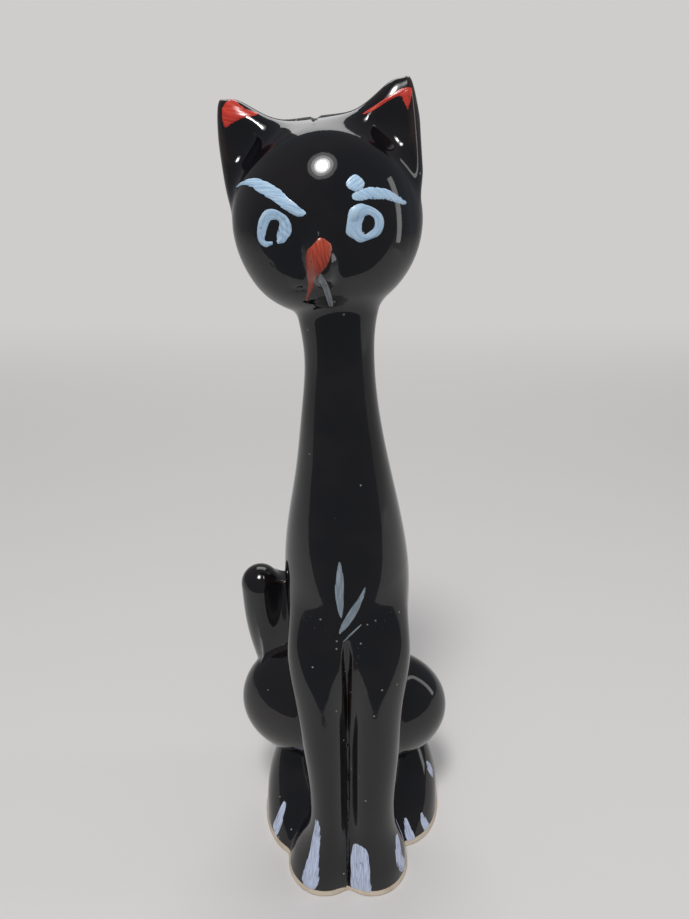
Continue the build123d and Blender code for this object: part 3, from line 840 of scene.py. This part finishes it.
right_brow = (
    (-21.4, 10.8), (-19.4, 11.9), (-15.2, 12.5), (-11.7, 11.5), (-8.6, 9.7), (-5.3, 6.6), (-2.5, 4.1),
    (-3.0, 3.2), (-4.8, 3.3), (-7.2, 4.9), (-10.6, 7.5), (-14.3, 9.6), (-15.8, 10.7), (-18.7, 11.3),
)
left_brow = (
    (8.6, 6.0), (9.3, 7.0), (11.8, 7.7), (14.7, 7.4), (17.4, 6.3), (19.4, 4.6), (20.8, 3.2),
    (20.1, 2.8), (18.1, 3.8), (15.3, 4.8), (12.4, 5.1), (9.6, 5.3),
)
forehead_dab = ((7.5, 9.2), (8.6, 10.5), (10.0, 10.7), (11.5, 9.1), (11.2, 7.8), (9.6, 7.2), (8.0, 8.0))
right_eye = (
    (-12.0, 5.2), (-9.5, 5.1), (-7.4, 3.7), (-6.2, 1.6), (-6.6, -0.4), (-8.2, -2.1), (-10.1, -2.6),
    (-10.2, -0.7), (-9.1, 2.4), (-11.1, 2.8), (-12.6, 0.8), (-13.6, -1.2), (-13.1, -1.9), (-11.7, -2.1),
    (-11.9, -2.8), (-13.5, -3.1), (-14.9, -2.4), (-15.5, -0.9), (-15.2, 1.4), (-13.9, 3.8),
)
left_eye = (
    (9.5, 4.4), (11.1, 4.2), (13.7, 2.8), (15.2, 0.8), (15.2, -1.2), (14.0, -3.1), (12.1, -3.8),
    (9.6, -4.1), (8.0, -3.1), (6.5, -1.7), (7.0, 1.1), (7.8, 3.4),
)
left_pupil = ((11.1, 1.4), (12.2, 1.6), (13.2, 0.5), (12.9, -1.3), (11.4, -2.3), (10.4, -2.3), (10.2, -0.5))
left_eye_bead = (8.8, 2.6, 2.0, 0.3)  # sideways, up, radius, rise
pale = enamel("pale_blue_enamel", (0.58, 0.76, 0.92, 1), (0.38, 0.57, 0.78, 1), cover_share=0.12)
for name, mark in (
    ("right_brow_stroke", stroke(face, right_brow, straight(-28, -0.012))),
    ("left_brow_stroke", stroke(face, left_brow, straight(-12, -0.03))),
    ("forehead_dab", stroke(face, forehead_dab, straight(35), 0.28, 0.1)),
    ("right_eye_ring", stroke(face, right_eye, ring(-11.2, 0.6, 1.2), 0.2, 0.3)),
    ("left_eye_ring", stroke(face, left_eye, ring(11.5, -0.2, 1.2), 0.2, 0.2, left_pupil, left_eye_bead)),
):
    paint(name, [mark], pale, "pale_enamel")

# ---- Nose and mouth: an orange-red drop whose tail runs down into the left line of the mouth ----
# The right line is a thin stroke of the pale enamel, dulled by the black under it.
nose = (
    (-1.3, -3.3), (0.6, -1.9), (2.7, -3.5), (2.7, -5.8), (1.5, -8.2), (-0.1, -9.8), (-1.9, -11.2),
    (-3.2, -13.7), (-5.5, -17.1), (-5.7, -16.8), (-4.3, -13.1), (-4.0, -9.9), (-3.6, -6.4), (-2.7, -4.4),
)
mouth = (
    (-0.9, -10.4), (0.1, -10.3), (0.8, -13.6), (0.9, -18.7), (-0.4, -19.4), (-0.5, -15.9), (-1.0, -12.4),
)
orange_red = enamel("orange_red_enamel", (0.56, 0.085, 0.040, 1), (0.34, 0.045, 0.028, 1), cover_share=0.14)
dull = enamel("dull_pale_enamel", (0.36, 0.40, 0.44, 1), (0.20, 0.20, 0.20, 1), cover_share=0.2)
paint("nose_patch", [stroke(face, nose, straight(-82), 0.18, 0.2)], orange_red, "red_enamel")
paint("mouth_stroke", [stroke(face, mouth, straight(-86), 0.16, 0.4)], dull, "pale_enamel")

# ---- Ear tips: bright red enamel, wiped over the right tip and along the front of the left rim ----
# It is laid on the fired glaze with the same brush as the face.
right_tip = (
    (-22.6, 29.4), (-21.5, 30.6), (-19.8, 30.9), (-17.7, 29.0), (-14.4, 27.3), (-14.8, 26.7),
    (-17.6, 26.5), (-20.5, 25.6), (-22.3, 25.0), (-22.9, 27.0),
)
left_rim = (
    (12.0, 24.1), (14.5, 25.5), (17.5, 26.9), (20.3, 28.1), (22.3, 28.7), (24.0, 28.4), (23.6, 26.3),
    (22.7, 24.0), (22.0, 25.4), (20.9, 27.1), (18.0, 26.2), (14.8, 24.7),
)
ear_red = enamel("ear_red_enamel", (0.66, 0.055, 0.030, 1), (0.42, 0.03, 0.02, 1), cover_share=0.1)
for name, outline, tilt in (("right_ear", right_tip, -20), ("left_ear", left_rim, 25)):
    view = face[:3] + ((name,),)
    paint(f"{name}_enamel", [stroke(view, outline, straight(tilt), 0.16, 0.3)], ear_red, "red_enamel")

# ---- Chest: two long flicks of grey-blue enamel that meet in a V, and a short one under them ----
# The brush was nearly dry, so they are thin and the black shows through.
front = (np.array((0.0, 0.0, 112.0)), np.array((1.0, 0.0, 0.0)), np.array((0.0, 0.0, 1.0)))
chest = front + (("body_casting", "left_foreleg", "right_foreleg"),)
chest_marks = (
    (((-3.6, 11.6), (-2.6, 8.0), (-2.3, 1.5), (-2.9, -7.4), (-4.3, -3.0), (-4.8, 2.0), (-4.5, 7.5)), 92),
    (((3.9, 2.9), (3.6, -0.2), (0.8, -7.4), (-3.3, -13.1), (-3.5, -11.6), (-1.2, -5.8), (2.0, -0.4)), 62),
    (((3.0, -10.0), (0.6, -13.0), (-2.4, -16.2), (-0.4, -13.2)), 50),
)
grey_blue = enamel("grey_blue_enamel", (0.36, 0.42, 0.47, 1), (0.20, 0.25, 0.29, 1), cover_share=0.16)
paint("chest_strokes", [stroke(chest, outline, straight(tilt), 0.14, 0.3) for outline, tilt in chest_marks],
      grey_blue, "pale_enamel")

# ---- Toes: lavender-white strokes pulled down over the paws to the bare rim ----
# Each is one pull of a full brush, and its edges are the most ragged on the cat.
toes = {
    "right_foreleg_toe_strokes": ("right_foreleg", (
        (((-11.6, 26.8), (-10.3, 24.6), (-10.7, 14.0), (-11.1, 4.6), (-13.6, 1.9), (-16.6, 3.0),
          (-15.4, 9.0), (-13.2, 17.0)), 80),
    )),
    "left_foreleg_toe_strokes": ("left_foreleg", (
        (((1.6, 17.6), (4.6, 17.4), (6.0, 14.8), (6.4, 8.0), (6.4, 1.0), (0.6, 1.0),
          (0.2, 8.0), (0.2, 14.6)), 90),
        (((15.6, 17.2), (17.2, 12.0), (18.9, 5.2), (18.7, 2.3), (16.9, 5.0), (15.6, 11.0)), 100),
    )),
    "right_hind_toe_strokes": ("right_hind_paw", (
        (((-24.2, 13.6), (-23.8, 11.6), (-25.6, 5.8), (-27.6, 1.6), (-28.4, 4.4), (-26.4, 9.6)), 70),
    )),
    "left_hind_toe_strokes": ("left_hind_paw", (
        (((19.8, 8.2), (21.0, 7.6), (23.6, 2.2), (22.2, 1.0), (20.2, 3.6)), 110),
        (((26.2, 8.0), (27.4, 6.6), (29.5, 1.8), (28.0, 1.6), (26.4, 4.8)), 110),
        (((29.2, 19.0), (31.0, 16.6), (32.0, 12.4), (30.4, 15.0)), 120),
    )),
}
lavender = enamel("lavender_enamel", (0.60, 0.67, 0.86, 1), (0.40, 0.45, 0.60, 1), cover_share=0.18)
table_view = (np.zeros(3), front[1], front[2])
for name, (paw, marks) in toes.items():
    view = table_view + ((paw,),)
    strokes = [stroke(view, outline, straight(tilt), 0.18, 0.5) for outline, tilt in marks]
    paint(name, strokes, lavender, "pale_enamel")

# ---- Studio: a pale table top with a card sweep behind the cat, and soft lamps ----
# The table ends a hand's breadth in front of the cat, so the front of the glaze mirrors a dim room.
table_front, sweep_start = -0.12, 0.9
half_width, sweep_radius, card_top = 1.6, 0.6, 2.4
rows = [(table_front, 0.0), (sweep_start, 0.0)]
for angle in np.linspace(0.1, math.pi / 2, 12):
    rows.append((sweep_start + sweep_radius * math.sin(angle), sweep_radius * (1 - math.cos(angle))))
rows.append((sweep_start + sweep_radius, card_top))
stage_mesh = bpy.data.meshes.new("studio_sweep")
corners = [(x, y, z) for y, z in rows for x in (-half_width, half_width)]
strips = [(2 * i, 2 * i + 1, 2 * i + 3, 2 * i + 2) for i in range(len(rows) - 1)]
stage_mesh.from_pydata(corners, [], strips)
stage_mesh.polygons.foreach_set("use_smooth", [True] * len(stage_mesh.polygons))
sweep = bpy.data.objects.new("studio_sweep", stage_mesh)
bpy.context.scene.collection.objects.link(sweep)
card, card_tree, card_place = new_finish("pale_card")
card_colour, far_colour = (0.70, 0.68, 0.66, 1), (0.62, 0.61, 0.60, 1)
paper = node(card_tree, "ShaderNodeBsdfPrincipled", {}, {"Base Color": card_colour, "Roughness": 0.85})
glow = node(card_tree, "ShaderNodeEmission", {}, {"Color": far_colour, "Strength": 1.0})
far = ramp(node(card_tree, "ShaderNodeSeparateXYZ", {}, {"Vector": card_place}, "Y"), 0.15, 1.0)
seen = node(card_tree, "ShaderNodeLightPath", {}, {}, "Is Camera Ray")
lit = node(card_tree, "ShaderNodeMixShader", {}, {0: far * seen, 1: paper, 2: glow})
node(card_tree, "ShaderNodeOutputMaterial", {}, {"Surface": lit})
stage_mesh.materials.append(card)


def lamp(name, place, aim, size, power, shape):
    data = bpy.data.lights.new(name, "AREA")
    data.shape = shape
    data.size, data.size_y = size
    data.energy = power
    obj = bpy.data.objects.new(name, data)
    obj.location = place
    obj.rotation_euler = (Vector(aim) - Vector(place)).to_track_quat("-Z", "Y").to_euler()
    bpy.context.scene.collection.objects.link(obj)


for size, power in ((0.18, 4.5), (0.27, 2.0), (0.38, 1.4), (0.52, 1.2)):
    lamp("key_lamp", (-0.12, -0.52, 1.10 + size / 10), (0, 0, 0.15), (size, size * 1.2), power, "ELLIPSE")
lamp("strip_lamp", (0.60, 0.02, 0.30), (0, 0, 0.12), (0.09, 0.50), 0.3, "RECTANGLE")
lamp("back_lamp", (0.0, 0.9, 1.3), (0, 0, 0.1), (1.0, 0.6), 5.0, "RECTANGLE")
world = bpy.data.worlds.new("studio")
bpy.context.scene.world = world
world.use_nodes = True
world.node_tree.nodes["Background"].inputs["Color"].default_value = (0.20, 0.21, 0.23, 1)
world.node_tree.nodes["Background"].inputs["Strength"].default_value = 1.0
